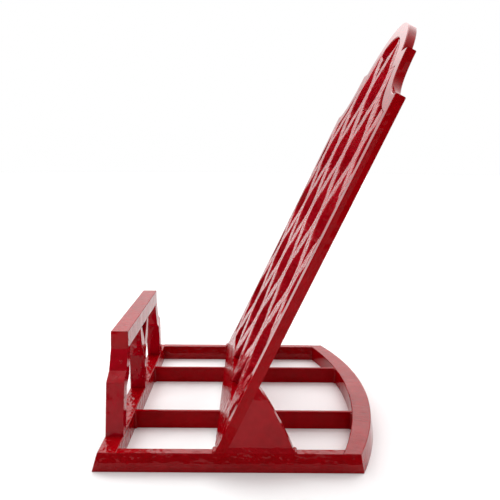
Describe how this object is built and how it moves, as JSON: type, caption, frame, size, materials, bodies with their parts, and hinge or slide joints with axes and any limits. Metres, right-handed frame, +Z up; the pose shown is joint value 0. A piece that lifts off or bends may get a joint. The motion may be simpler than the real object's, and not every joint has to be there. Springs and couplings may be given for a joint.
{
  "type": "cookbook stand",
  "caption": "Free-standing stand that holds an open book or tablet: bowed base frame, low front ledge and a leaning pierced back panel on side gussets.",
  "frame": {"origin": "on the floor, below the middle of the front top edge of the base", "axes": "+X to the stand's right seen from the front, +Y from the front ledge to the rear rim, +Z up"},
  "size_m": [0.21, 0.2145, 0.2923],
  "materials": {
    "red_coat": "gloss"
  },
  "bodies": {
    "root": {"bar_welds_front": "red_coat", "bar_welds_rear": "red_coat", "foot_welds_left": "red_coat", "foot_welds_right": "red_coat", "front_bar": "red_coat", "gusset_left": "red_coat", "gusset_right": "red_coat", "inner_bar_left": "red_coat", "inner_bar_right": "red_coat", "ledge_centre_stem": "red_coat", "ledge_end_post_left": "red_coat", "ledge_end_post_right": "red_coat", "ledge_top_rail": "red_coat", "panel_arch": "red_coat", "panel_bottom_rail": "red_coat", "panel_shoulder_left": "red_coat", "panel_shoulder_right": "red_coat", "panel_stile_left": "red_coat", "panel_stile_right": "red_coat", "rear_rim": "red_coat", "side_rail_left": "red_coat", "side_rail_right": "red_coat", "stile_bow_left_1": "red_coat", "stile_bow_left_2": "red_coat", "stile_bow_left_3": "red_coat", "stile_bow_right_1": "red_coat", "stile_bow_right_2": "red_coat", "stile_bow_right_3": "red_coat", "wavy_bar_1": "red_coat", "wavy_bar_2": "red_coat", "wavy_bar_3": "red_coat", "wavy_bar_4": "red_coat", "wavy_bar_5": "red_coat", "wavy_bar_6": "red_coat"}
  },
  "joints": []
}
